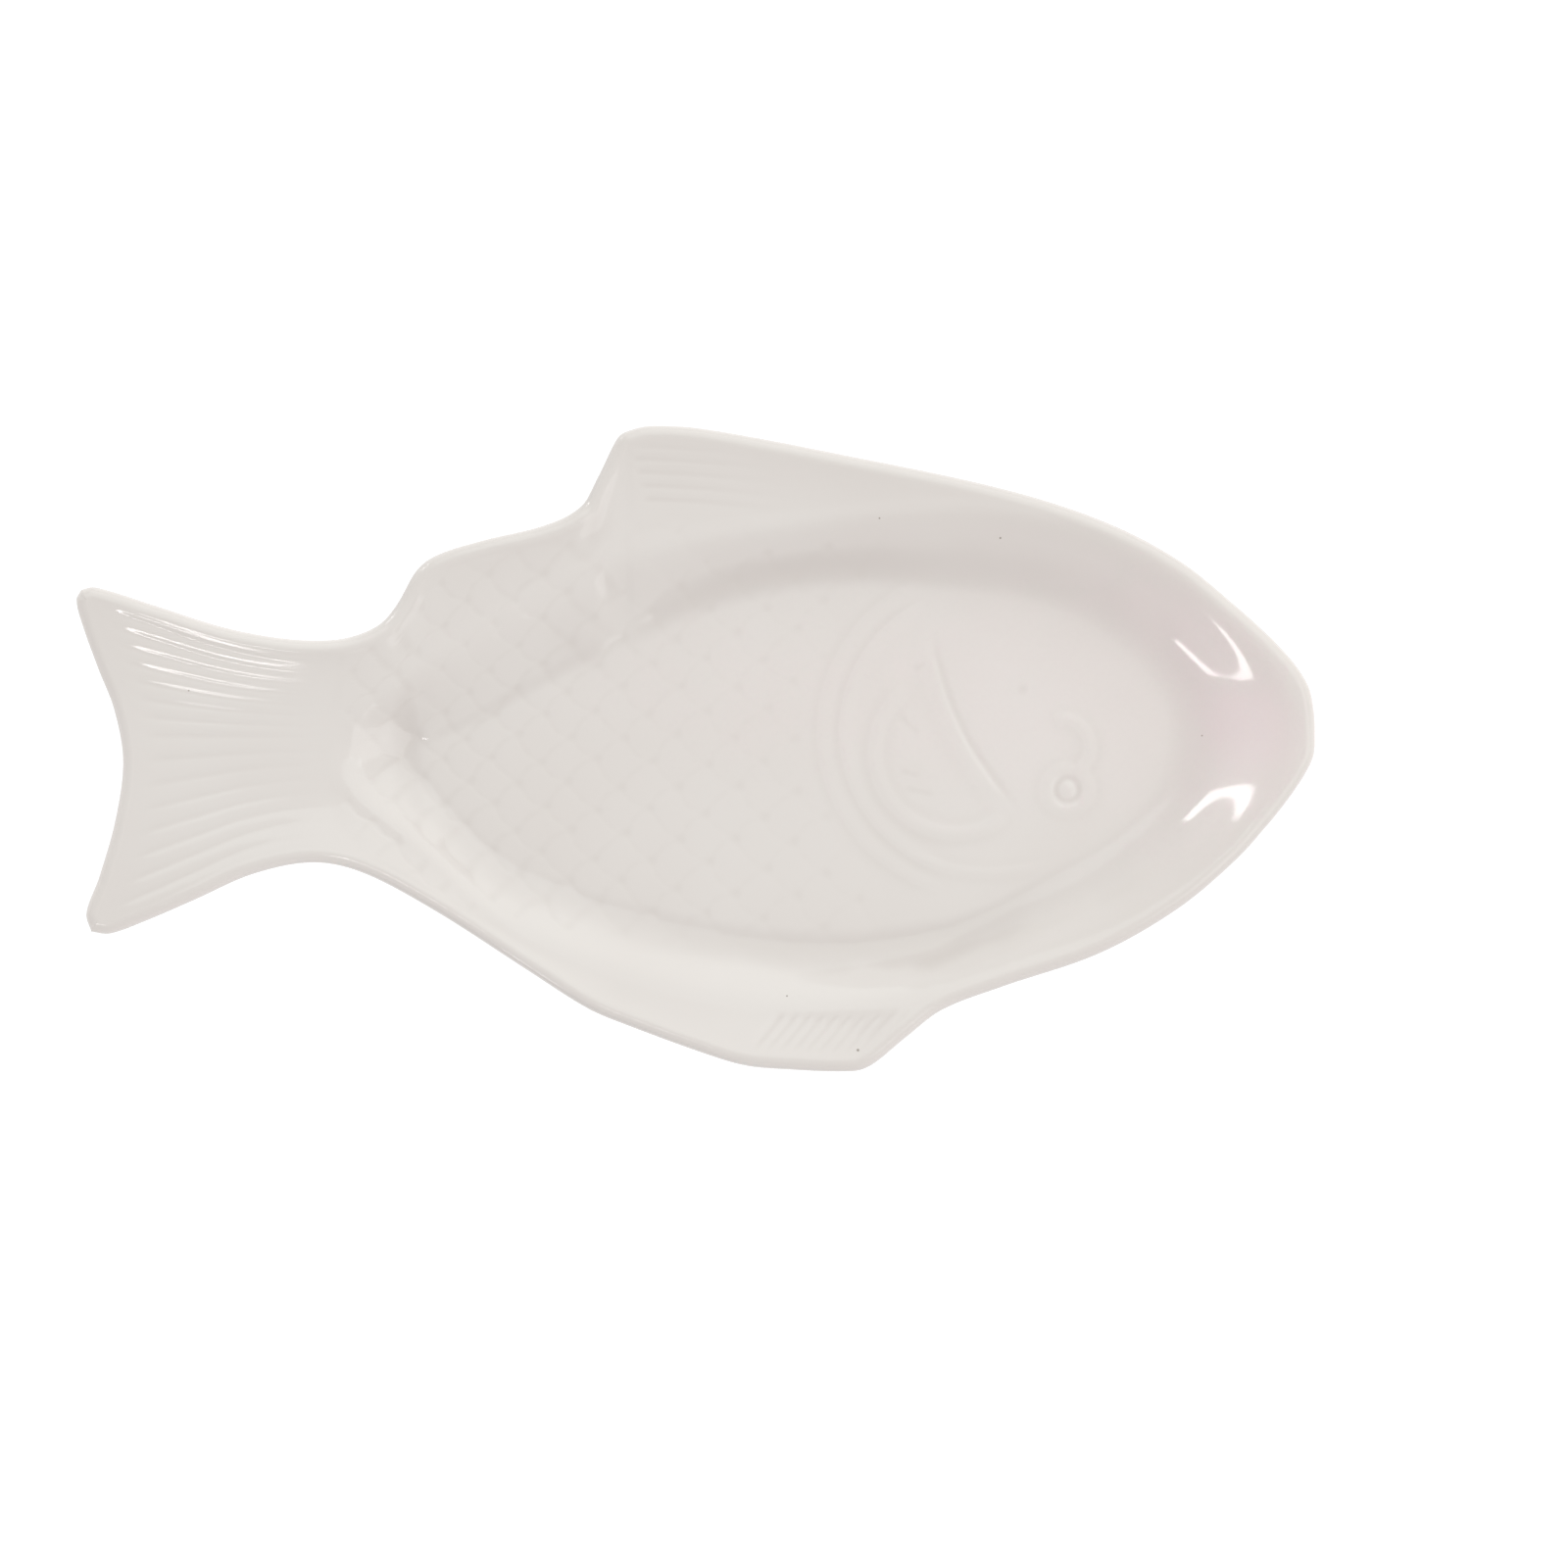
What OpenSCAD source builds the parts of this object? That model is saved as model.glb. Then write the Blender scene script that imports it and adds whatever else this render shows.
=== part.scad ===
/* [Platter] */
// Length from the tail fin to the nose
platter_length = 278; // [220:1:340]
// Width over the dorsal fin and the lower fin
platter_width = 145; // [115:1:180]
// Height of the lip at the nose above the table
rim_height = 20; // [17:0.5:26]
// Thickness of the fired body, measured square to its surface
wall = 4.4; // [3.6:0.1:5.2]

/* [Well] */
// Height of the well floor above the table
floor_height = 6; // [5.4:0.1:7]

/* [Foot] */
// Width of the foot ring's resting face
foot_width = 4; // [2.5:0.5:7]
// Distance from the floor's edge to the foot ring's outer side
foot_inset = 5; // [3:0.5:8]

/* [Scales] */
// Length of one scale along the fish at the middle of the pattern
scale_length = 11.9; // [9:0.1:14]
// Height of one scale across the fish at the middle of the pattern
scale_height = 10.7; // [9:0.1:13]
// Rise of a scale's middle above the groove round it
scale_relief = 0.7; // [0.3:0.1:1.2]
// Number of scales along the lateral line
scales_along = 9; // [7:1:10]

/* [Fins] */
// Depth of the grooves between the tail rays
ray_depth = 0.7; // [0.3:0.1:1.2]
// Number of tail rays on either side of the lateral line
tail_rays = 8; // [6:1:9]
// Depth of the grooves in the dorsal fin and the lower fin
fin_groove_depth = 0.4; // [0.2:0.1:0.7]
// Diameter of the round tool mark that a fin groove is
fin_groove_size = 2.4; // [1.6:0.1:3]
// Number of grooves in the dorsal fin
dorsal_grooves = 5; // [3:1:6]
// Number of grooves in the lower fin
lower_grooves = 9; // [5:1:11]

/* [Head] */
// Height of the gill cover, cheek and eye above the floor
head_relief = 0.6; // [0.3:0.1:1.2]
// Width of a raised gill ridge
gill_ridge = 4.4; // [3:0.2:6]
// Radius of the outer gill ridge
gill_radius = 34; // [30:0.5:36]
// Radius of the inner gill ridge
cheek_radius = 18; // [14:0.5:20]
// Width of the raised mouth line
mouth_ridge = 3; // [2:0.2:4]
// Radius of the mouth line
mouth_radius = 6.4; // [5:0.2:8]
// Outer diameter of the eye ring
eye_size = 7.6; // [6:0.2:10]
// Width of the eye ring
eye_ring = 1.8; // [1.2:0.1:2.2]

/* [Hidden] */
$fn = 48;

// Outline of the back, from the upper tail tip to the nose: shares of the length, shares of the width
back_shares = [
    [0.004, 0.246], [0.015, 0.250], [0.063, 0.222], [0.119, 0.188], [0.166, 0.171],
    [0.202, 0.168], [0.226, 0.176], [0.246, 0.195], [0.259, 0.225], [0.274, 0.275],
    [0.290, 0.299], [0.325, 0.321], [0.381, 0.348], [0.409, 0.378], [0.422, 0.423],
    [0.437, 0.480], [0.446, 0.492], [0.465, 0.500], [0.508, 0.495], [0.620, 0.455],
    [0.747, 0.403], [0.827, 0.354], [0.890, 0.292], [0.938, 0.218], [0.966, 0.169]
];
// Outline of the belly, from the lower tail tip to the nose
belly_shares = [
    [0.012, -0.284], [0.027, -0.287], [0.055, -0.268], [0.095, -0.235], [0.142, -0.195],
    [0.190, -0.177], [0.230, -0.192], [0.286, -0.248], [0.365, -0.345], [0.413, -0.403],
    [0.445, -0.429], [0.508, -0.473], [0.540, -0.491], [0.572, -0.497], [0.628, -0.500],
    [0.644, -0.489], [0.671, -0.447], [0.699, -0.406], [0.747, -0.370], [0.827, -0.317],
    [0.890, -0.248], [0.938, -0.170], [0.966, -0.110]
];
// Trailing edge of the tail, from the lower tip to the upper one: shares of the width, of the length
tail_edge_shares = [
    [-0.284, 0.012], [-0.255, 0.008], [-0.200, 0.018], [-0.110, 0.031], [-0.020, 0.037],
    [0.060, 0.030], [0.125, 0.017], [0.190, 0.005], [0.230, 0.000], [0.246, 0.004]
];
// Front edge of the nose, from the belly to the back
nose_shares = [
    [-0.110, 0.966], [-0.075, 0.980], [-0.040, 0.992], [-0.010, 0.999], [0.025, 1.000],
    [0.060, 0.999], [0.095, 0.995], [0.130, 0.984], [0.169, 0.966]
];
// Loops round the well floor and round the top of its wall: the middle between their two sides, and half
// the distance between these, which is negative past the loop's ends
floor_middle_shares = [
    [0.265, -0.006], [0.290, -0.024], [0.317, -0.040], [0.349, -0.047], [0.381, -0.045],
    [0.445, -0.037], [0.508, -0.026], [0.572, -0.021], [0.635, -0.019], [0.700, -0.014],
    [0.740, -0.003], [0.779, 0.010], [0.827, 0.017], [0.890, 0.020]
];
floor_half_shares = [
    [0.200, -0.100], [0.267, 0.000], [0.286, 0.038], [0.317, 0.083], [0.349, 0.126],
    [0.381, 0.159], [0.445, 0.215], [0.508, 0.258], [0.572, 0.283], [0.635, 0.288],
    [0.700, 0.272], [0.740, 0.252], [0.779, 0.222], [0.827, 0.170], [0.858, 0.120],
    [0.890, 0.000], [0.940, -0.155], [1.000, -0.210]
];
ledge_middle_shares = [
    [0.200, -0.004], [0.286, -0.009], [0.317, -0.020], [0.349, -0.024], [0.413, -0.021],
    [0.508, -0.025], [0.572, -0.024], [0.620, -0.019], [0.667, -0.009], [0.731, 0.010],
    [0.795, 0.018], [0.874, 0.022], [0.984, 0.022], [0.991, 0.020]
];
ledge_half_shares = [
    [0.160, -0.050], [0.200, 0.000], [0.254, 0.115], [0.286, 0.165], [0.317, 0.215],
    [0.349, 0.256], [0.381, 0.287], [0.445, 0.334], [0.508, 0.360], [0.572, 0.376],
    [0.635, 0.384], [0.700, 0.379], [0.779, 0.350], [0.827, 0.319], [0.874, 0.270],
    [0.922, 0.203], [0.962, 0.133], [0.991, 0.000], [1.000, -0.075]
];
// Heights along the fish, as shares of the rim height: the lip, and the ledge at the wall's top
rim_shares = [
    [0, 0.84], [0.10, 0.80], [0.20, 0.78], [0.30, 0.80], [0.45, 0.86], [0.60, 0.88], [0.75, 0.90],
    [0.90, 0.96], [0.985, 1], [1, 1]
];
ledge_shares = [
    [0, 0.78], [0.10, 0.68], [0.20, 0.62], [0.30, 0.62], [0.45, 0.66], [0.58, 0.70], [0.70, 0.82],
    [0.80, 0.89], [0.90, 0.95], [0.985, 1], [1, 1]
];
// How sharply the wall meets the floor along the fish: 0 is a smooth bowl and 1 a crease at the foot
crease_shares = [[0.25, 0.7], [0.50, 0.6], [0.60, 0.45], [0.75, 0.2], [0.85, 0]];
// The flange curls up towards the lip by this power
flange_curl = 1.3;

// Half height of the scale field about the lateral line, share of the width
field_shares = [[0.19, 0.06], [0.25, 0.15], [0.31, 0.235], [0.38, 0.29], [0.45, 0.325], [0.60, 0.345]];
// The lateral line and the middle of the scale field
lateral_y = 0.019 * platter_width;
field_x = -0.1015 * platter_length;
// Growth of the scale pitch towards the head, over one quarter of a scale and over the field's length
pitch_growth_share = 0.0045;
row_growth_share = 0.26;
// Levels of a scale as shares of its relief: pit, groove, free edge, side, tucked edge and middle
scale_level_shares = [-0.45, -0.30, 0.50, 0.30, 0.18, 0.55];

// Places on the head, as shares of the length and the width: middles of the gill ridges, mouth and eye
gill_share = [0.7343, 0.0264];
cheek_share = [0.7112, -0.002];
mouth_share = [0.7979, 0.0023];
eye_share = [0.8027, -0.0641];
// Where the gill ridges and the mouth begin and end, as angles about their middles
gill_angles = [119, 253];
cheek_angles = [125, 300];
mouth_angles = [-60, 110];
// Crescent on the cheek: middles of the circles that bound it, and their radii as shares of the length
crescent_out_share = [0.8025, 0.118];
crescent_in_share = [0.9415, 0.245];
crescent_radius_shares = [0.110, 0.250];

// Grooves of the dorsal fin: the first one's rear end and front end, and the last one's
dorsal_first_shares = [[0.458, 0.470], [0.565, 0.453]];
dorsal_last_shares = [[0.442, 0.388], [0.545, 0.380]];
// Grooves of the lower fin: lower end and upper end of the rearmost one and of the foremost one
lower_first_shares = [[0.545, -0.470], [0.585, -0.408]];
lower_last_shares = [[0.632, -0.476], [0.672, -0.418]];

// Grid over the fish: quarter scales in the field, and so many columns before and behind it
quarters = 4;
half_field = 2 * scales_along;
tail_columns = 13;
head_columns = 22;
columns = tail_columns + 2 * half_field + head_columns;
rows_per_ray = 3;
half_rows = tail_rays * rows_per_ray;
// The underside's coarser grid
under_column_step = 2;
under_row_step = 2;
// Columns and rows over which the underside turns from below the surface to square to it
under_turn = 6;

lip_radius = wall / 2;
foot_height = floor_height - wall;
quarter_x = scale_length / quarters;
quarter_y = scale_height / quarters;
field_length = scale_length * scales_along;

function clamp01(v) = min(1, max(0, v));
function mix(a, b, t) = a + (b - a) * t;
function ease(t) = let (c = clamp01(t)) c * c * (3 - 2 * c);

// Smooth curve through points, read at one place, level beyond its ends
function knot_slope(k, i) =
    let (a = max(0, i - 1), b = min(len(k) - 1, i + 1))
    (k[b][1] - k[a][1]) / (k[b][0] - k[a][0]);
function span_at(k, at, i = 0) = i >= len(k) - 2 || at < k[i + 1][0] ? i : span_at(k, at, i + 1);
function curve(k, at) =
    let (
        p = min(max(at, k[0][0]), k[len(k) - 1][0]),
        i = span_at(k, p),
        h = k[i + 1][0] - k[i][0],
        t = (p - k[i][0]) / h,
        m0 = h * knot_slope(k, i),
        m1 = h * knot_slope(k, i + 1)
    )
    (2 * t^3 - 3 * t^2 + 1) * k[i][1] + (t^3 - 2 * t^2 + t) * m0
        + (3 * t^2 - 2 * t^3) * k[i + 1][1] + (t^3 - t^2) * m1;

function share_of_x(x) = x / platter_length + 0.5;
function x_at(share) = (share - 0.5) * platter_length;
function y_curve(k, x) = platter_width * curve(k, share_of_x(x));
function x_curve(k, y) = x_at(curve(k, y / platter_width));

function squares(k) = [for (p = k) [p[0], p[1] * abs(p[1])]];
floor_squares = squares(floor_half_shares);
ledge_squares = squares(ledge_half_shares);

// Sections across the fish hold what the surface needs at one place along it: middle and half square of
// the outline, the ledge and the floor, then the lip's height, the ledge's height and the foot's crease
function section(x) =
    let (
        s = share_of_x(x),
        back = curve(back_shares, s),
        belly = curve(belly_shares, s)
    )
    [
        [(back + belly) / 2, pow((back - belly) / 2, 2)],
        [curve(ledge_middle_shares, s), curve(ledge_squares, s)],
        [curve(floor_middle_shares, s), curve(floor_squares, s)],
        rim_height * curve(rim_shares, s),
        rim_height * curve(ledge_shares, s),
        curve(crease_shares, s)
    ];
// How far a place lies outside a loop: negative inside it, zero on it and smooth past its ends
function outside(t, loop_at) = pow(t - loop_at[0], 2) - loop_at[1];
function wall_shape(u, crease) = mix(ease(u), sin(90 * u), crease);
function smooth_z(c, y) =
    let (
        t = y / platter_width,
        off_edge = outside(t, c[0]),
        off_ledge = outside(t, c[1]),
        off_floor = outside(t, c[2]),
        on_wall = clamp01(off_floor / (off_floor - off_ledge)),
        on_flange = clamp01(off_ledge / (off_ledge - off_edge))
    )
    mix(floor_height, c[4], wall_shape(on_wall, c[5])) + (c[3] - c[4]) * pow(on_flange, flange_curl);

// Scales: columns widen towards the head and rows fan out with them
function field_column_x(i) = field_x + quarter_x * (i + pitch_growth_share * i * i);
function row_pitch(x) = quarter_y * (1 + row_growth_share * (x - field_x) / field_length);
function field_half(x) = platter_width * curve(field_shares, share_of_x(x));
function level_of(i, j) =
    let (even = i % 2 == 0 && j % 2 == 0, odd = i % 2 != 0 && j % 2 != 0)
    even ? (((i + j) / 2) % 2 == 0 ? 0 : 5)
    : odd ? 1
    : j % 2 == 0 ? (((i + 1 + j) / 2) % 2 == 0 ? 4 : 2)
    : 3;
function scale_z(i, j, p) =
    let (
        half = field_half(p.x),
        across = clamp01((half - abs(p.y - lateral_y)) / (2 * quarter_y)),
        along = clamp01((half_field - abs(i)) / quarters)
    )
    scale_relief * scale_level_shares[level_of(i, j)] * across * along;

// Tail rays: a groove on every third row, full between the trailing edge and the tail's root
function ray_z(i, j) =
    let (s = i / tail_columns, mask = ease(4 * s) * ease((1 - s) * 2.4))
    j % rows_per_ray == 0 && abs(j) < half_rows ? -ray_depth * mask : 0;

// Outline points round the grid
function tip(side) = side > 0 ? tail_edge_shares[len(tail_edge_shares) - 1] : tail_edge_shares[0];
function column_x(i) =
    i < tail_columns
        ? mix(x_at(tail_edge_shares[4][1]), field_column_x(-half_field), i / tail_columns)
    : i <= tail_columns + 2 * half_field
        ? field_column_x(i - tail_columns - half_field)
    : mix(field_column_x(half_field), x_at(1), (i - tail_columns - 2 * half_field) / head_columns);
function edge_x(i, side) =
    i < tail_columns
        ? mix(x_at(tip(side)[1]), field_column_x(-half_field), i / tail_columns)
    : i <= tail_columns + 2 * half_field
        ? field_column_x(i - tail_columns - half_field)
    : mix(field_column_x(half_field), x_at(nose_shares[0][1]),
          (i - tail_columns - 2 * half_field) / head_columns);
function outline_side(i, side) =
    let (x = edge_x(i, side))
    [x, y_curve(side > 0 ? back_shares : belly_shares, x)];
function outline_end(j, k) =
    let (
        t = j / half_rows,
        low = platter_width * k[0][0],
        high = platter_width * k[len(k) - 1][0],
        y = t > 0 ? mix(lateral_y, high, t) : mix(lateral_y, low, -t)
    )
    [x_curve(k, y), y];
loop = concat(
    [for (i = [0 : columns]) outline_side(i, -1)],
    [for (j = [1 - half_rows : half_rows - 1]) outline_end(j, nose_shares)],
    [for (i = [columns : -1 : 0]) outline_side(i, 1)],
    [for (j = [half_rows - 1 : -1 : 1 - half_rows]) outline_end(j, tail_edge_shares)]
);
loop_count = len(loop);
function unit(v) = v / norm(v);
function inward(k) =
    let (d = unit(loop[(k + 1) % loop_count] - loop[(k + loop_count - 1) % loop_count])) [-d.y, d.x];
function inset(k, d) = loop[k] + d * inward(k);
// Places of the grid's edge points in the loop
function belly_index(i) = i;
function nose_index(j) = columns + half_rows + j;
function back_index(i) = 2 * columns + 2 * half_rows - i;
function tail_index(j) = (loop_count - half_rows - j) % loop_count;

// Grid points: spokes run from the lateral line to the inset outline. In the scale field they keep the
// rows' pitch as far as the field reaches, and in tail and head the end edges bend them.
function spoke(i, j) =
    let (
        end = inset(j > 0 ? back_index(i) : belly_index(i), lip_radius),
        x = column_x(i),
        side = j > 0 ? 1 : -1,
        pitch = row_pitch(x),
        past = max(tail_columns - i, i - tail_columns - 2 * half_field, 0),
        core = min(field_half(x), abs(end.y - lateral_y) * field_reach_share)
            * ease(1 - past / core_fade_columns),
        n = abs(j) * pitch,
        t = (n - core) / (half_rows * pitch - core)
    )
    n <= core ? [x, lateral_y + side * n]
    : [mix(x, end.x, t), mix(lateral_y + side * core, end.y, t)];
field_reach_share = 0.86;
core_fade_columns = 12;
function grid_point(i, j) =
    j == half_rows ? inset(back_index(i), lip_radius)
    : j == -half_rows ? inset(belly_index(i), lip_radius)
    : i == 0 ? inset(tail_index(j), lip_radius)
    : i == columns ? inset(nose_index(j), lip_radius)
    : i < tail_columns
        ? spoke(i, j) + (1 - i / tail_columns) * (inset(tail_index(j), lip_radius) - spoke(0, j))
    : i > tail_columns + 2 * half_field
        ? spoke(i, j) + (i - tail_columns - 2 * half_field) / head_columns
            * (inset(nose_index(j), lip_radius) - spoke(columns, j))
    : spoke(i, j);

function relief_z(i, j, p) =
    i < tail_columns ? ray_z(i, j)
    : i <= tail_columns + 2 * half_field ? scale_z(i - tail_columns - half_field, j, p)
    : 0;
function top_point(i, j) =
    let (
        p = grid_point(i, j),
        edge = abs(j) == half_rows || i == 0 || i == columns
    )
    [p.x, p.y, surface_z(p) + (edge ? 0 : relief_z(i, j, p))];

// The underside runs one wall thickness below the smooth surface, measured square to it
function surface_z(p) = smooth_z(section(p.x), p.y);
function slope(p) =
    let (d = wall / 4)
    [surface_z(p + [d, 0]) - surface_z(p - [d, 0]), surface_z(p + [0, d]) - surface_z(p - [0, d])] / (2 * d);
function under_point(i, j) =
    let (
        p = grid_point(i, j),
        g = slope(p),
        steep = sqrt(1 + g * g),
        turn = min(1, (half_rows - abs(j)) / under_turn, i / under_turn, (columns - i) / under_turn),
        aside = turn * wall / steep * g
    )
    [p.x + aside.x, p.y + aside.y, max(surface_z(p) + aside * g - wall * steep, foot_height)];

// Lip: a round edge of the wall's thickness, on rings from the grid's edge over the outline to below it
lip_angles = [60, 0, -60];
function lip_point(k, a) =
    let (p = inset(k, lip_radius * (1 - cos(a))), q = inset(k, lip_radius))
    [p.x, p.y, surface_z(q) - lip_radius + lip_radius * sin(a)];

row_count = 2 * half_rows + 1;
top_points = [for (i = [0 : columns]) for (j = [-half_rows : half_rows]) top_point(i, j)];
lip_points = [for (a = lip_angles) for (k = [0 : loop_count - 1]) lip_point(k, a)];
under_edge_points = [
    for (k = [0 : loop_count - 1])
        let (q = inset(k, lip_radius)) [q.x, q.y, surface_z(q) - wall]
];
under_i = [for (i = [under_column_step : under_column_step : columns - 2]) i];
under_j = [for (j = [under_row_step - half_rows : under_row_step : half_rows - under_row_step]) j];
under_points = [for (i = under_i) for (j = under_j) under_point(i, j)];

lip_start = len(top_points);
edge_start = lip_start + len(lip_points);
under_start = edge_start + loop_count;
function top_index(i, j) = i * row_count + j + half_rows;
function loop_top_index(k) =
    k <= columns ? top_index(k, -half_rows)
    : k < columns + 2 * half_rows ? top_index(columns, k - columns - half_rows)
    : k <= 2 * columns + 2 * half_rows ? top_index(2 * columns + 2 * half_rows - k, half_rows)
    : top_index(0, loop_count - half_rows - k);

// Faces, clockwise seen from outside
function quad(a, b, c, d) = [[a, b, c], [a, c, d]];
top_faces = [
    for (i = [0 : columns - 1]) for (j = [-half_rows : half_rows - 1])
        let (
            a = top_index(i, j), b = top_index(i, j + 1),
            c = top_index(i + 1, j + 1), d = top_index(i + 1, j),
            even = (i - tail_columns - half_field + j) % 2 == 0
        )
        each (even ? quad(a, b, c, d) : quad(b, c, d, a))
];
function ring_faces(outer, inner) = [
    for (k = [0 : loop_count - 1])
        let (n = (k + 1) % loop_count) each quad(inner[k], inner[n], outer[n], outer[k])
];
top_ring = [for (k = [0 : loop_count - 1]) loop_top_index(k)];
lip_rings = [
    for (a = [0 : len(lip_angles) - 1]) [for (k = [0 : loop_count - 1]) lip_start + a * loop_count + k]
];
edge_ring = [for (k = [0 : loop_count - 1]) edge_start + k];
lip_faces = concat(
    ring_faces(lip_rings[0], top_ring),
    ring_faces(lip_rings[1], lip_rings[0]),
    ring_faces(lip_rings[2], lip_rings[1]),
    ring_faces(edge_ring, lip_rings[2])
);
function under_index(a, b) = under_start + a * len(under_j) + b;
under_faces = [
    for (a = [0 : len(under_i) - 2]) for (b = [0 : len(under_j) - 2])
        each quad(under_index(a, b), under_index(a + 1, b), under_index(a + 1, b + 1), under_index(a, b + 1))
];
// The strip between the underside's grid and the edge ring: walks both loops side by side
under_rim = concat(
    [for (a = [0 : len(under_i) - 1]) [under_index(a, 0), belly_index(under_i[a])]],
    [for (b = [1 : len(under_j) - 1]) [under_index(len(under_i) - 1, b), nose_index(under_j[b])]],
    [for (a = [len(under_i) - 2 : -1 : 0]) [under_index(a, len(under_j) - 1), back_index(under_i[a])]],
    [for (b = [len(under_j) - 2 : -1 : 1]) [under_index(0, b), tail_index(under_j[b])]]
);
strip_faces = [
    for (r = [0 : len(under_rim) - 1])
        let (
            here = under_rim[r], next = under_rim[(r + 1) % len(under_rim)],
            from = here[1], to = next[1] < from ? next[1] + loop_count : next[1]
        )
        each concat(
            [for (k = [from : to - 1])
                [here[0], edge_start + k % loop_count, edge_start + (k + 1) % loop_count]],
            [[here[0], edge_start + to % loop_count, next[0]]]
        )
];

// The fired body without its foot
module body() {
    polyhedron(
        points = concat(top_points, lip_points, under_edge_points, under_points),
        faces = concat(top_faces, lip_faces, under_faces, strip_faces),
        convexity = 8
    );
}

// The floor's outline drawn in by a distance, through stations that crowd at its two ends
floor_ends = [for (k = floor_half_shares) if (k[1] == 0) k[0]];
function floor_station(n) = mix(floor_ends[0], floor_ends[1], (1 - cos(180 * n / foot_stations)) / 2);
function floor_edge(s, side) =
    let (half = sqrt(max(0, curve(floor_squares, s))))
    [x_at(s), platter_width * (curve(floor_middle_shares, s) + side * half)];
module floor_outline(inset_by) {
    offset(delta = -inset_by)
        polygon(concat(
            [for (n = [0 : foot_stations]) floor_edge(floor_station(n), -1)],
            [for (n = [foot_stations - 1 : -1 : 1]) floor_edge(floor_station(n), 1)]
        ));
}
foot_stations = 20;

// The ring that the platter stands on, below the floor
module foot_ring() {
    linear_extrude(floor_height - wall / 2) difference() {
        floor_outline(foot_inset);
        floor_outline(foot_inset + foot_width);
    }
}

// A low round bead, cut across: its top stands proud of the floor and its root lies in the floor
module bead_profile(width, height) {
    radius = (width * width / 4 + height * height) / (2 * height);
    intersection() {
        translate([0, height - radius]) circle(radius, $fn = 96);
        translate([-width, -wall / 2]) square([2 * width, wall / 2 + height]);
    }
}

module ridge(middle, radius, angles, width) {
    translate([middle.x, middle.y, floor_height]) rotate([0, 0, angles[0]])
        rotate_extrude(angle = angles[1] - angles[0])
            translate([radius, 0]) bead_profile(width, head_relief);
}

function place(share) = [x_at(share.x), platter_width * share.y];

// The gill cover: an outer ridge across the floor and an inner one round the cheek
module gill_cover() {
    ridge(place(gill_share), gill_radius, gill_angles, gill_ridge);
    ridge(place(cheek_share), cheek_radius, cheek_angles, gill_ridge);
}

// The mouth: a hooked line before the eye
module mouth() {
    ridge(place(mouth_share), mouth_radius, mouth_angles, mouth_ridge);
}

// The crescent between two circles, at the root of the side fin
module crescent() {
    translate([0, 0, floor_height - wall / 2]) linear_extrude(wall / 2 + head_relief) difference() {
        translate(place(crescent_out_share)) circle(crescent_radius_shares[0] * platter_length, $fn = 96);
        translate(place(crescent_in_share)) circle(crescent_radius_shares[1] * platter_length, $fn = 96);
    }
}

module eye() {
    at = place(eye_share);
    translate([at.x, at.y, floor_height]) rotate_extrude()
        intersection() {
            union() {
                translate([(eye_size - eye_ring) / 2, 0]) bead_profile(eye_ring, head_relief);
                bead_profile(eye_size - 3 * eye_ring, head_relief);
            }
            translate([0, -wall / 2]) square([eye_size, wall]);
        }
}

// A groove between two places on the flange, cut by a rod that lies over the surface
module fin_groove(from, to) {
    lift = fin_groove_size / 2 - fin_groove_depth;
    run = [to.x - from.x, to.y - from.y, surface_z(to) - surface_z(from)];
    translate([from.x, from.y, surface_z(from) + lift])
        rotate([0, acos(run.z / norm(run)), atan2(run.y, run.x)])
            cylinder(h = norm(run), d = fin_groove_size, $fn = 8);
}

module fin_grooves(count, first, last) {
    for (n = [0 : count - 1]) {
        t = n / (count - 1);
        fin_groove(mix(place(first[0]), place(last[0]), t), mix(place(first[1]), place(last[1]), t));
    }
}

module platter() {
    color([0.87, 0.85, 0.82]) difference() {
        union() {
            body();
            foot_ring();
            gill_cover();
            mouth();
            crescent();
            eye();
        }
        fin_grooves(dorsal_grooves, dorsal_first_shares, dorsal_last_shares);
        fin_grooves(lower_grooves, lower_first_shares, lower_last_shares);
    }
}

platter();
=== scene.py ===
"""A white glazed fish platter, seen from above on a pale floor."""

import math

import bpy
import numpy as np
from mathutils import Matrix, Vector


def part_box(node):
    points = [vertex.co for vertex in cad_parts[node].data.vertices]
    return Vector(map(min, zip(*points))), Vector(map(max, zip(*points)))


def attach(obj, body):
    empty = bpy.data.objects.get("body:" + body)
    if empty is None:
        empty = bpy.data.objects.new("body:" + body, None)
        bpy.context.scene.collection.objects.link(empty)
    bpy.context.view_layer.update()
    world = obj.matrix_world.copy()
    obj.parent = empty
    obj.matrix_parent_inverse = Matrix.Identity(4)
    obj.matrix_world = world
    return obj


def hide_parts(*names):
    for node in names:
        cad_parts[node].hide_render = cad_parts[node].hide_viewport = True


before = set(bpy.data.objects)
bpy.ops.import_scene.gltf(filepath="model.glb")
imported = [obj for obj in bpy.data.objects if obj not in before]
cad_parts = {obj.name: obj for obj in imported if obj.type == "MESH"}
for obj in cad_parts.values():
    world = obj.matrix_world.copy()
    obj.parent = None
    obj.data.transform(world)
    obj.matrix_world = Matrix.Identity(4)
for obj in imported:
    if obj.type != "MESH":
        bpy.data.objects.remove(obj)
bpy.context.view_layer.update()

# Lengths below are in millimetres, in the frame of the part, and MM turns them into metres
MM = 0.001
CAD_LOW, CAD_HIGH = (np.array(corner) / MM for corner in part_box("platter"))
LENGTH = 278.0
WIDTH = 145.0
RIM_HEIGHT = 20.0
FLOOR_HEIGHT = 6.0
WALL = 4.4
FOOT_WIDTH = 4.0
FOOT_INSET = 5.0
LIP_RADIUS = WALL / 2
FOOT_HEIGHT = FLOOR_HEIGHT - WALL

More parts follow.
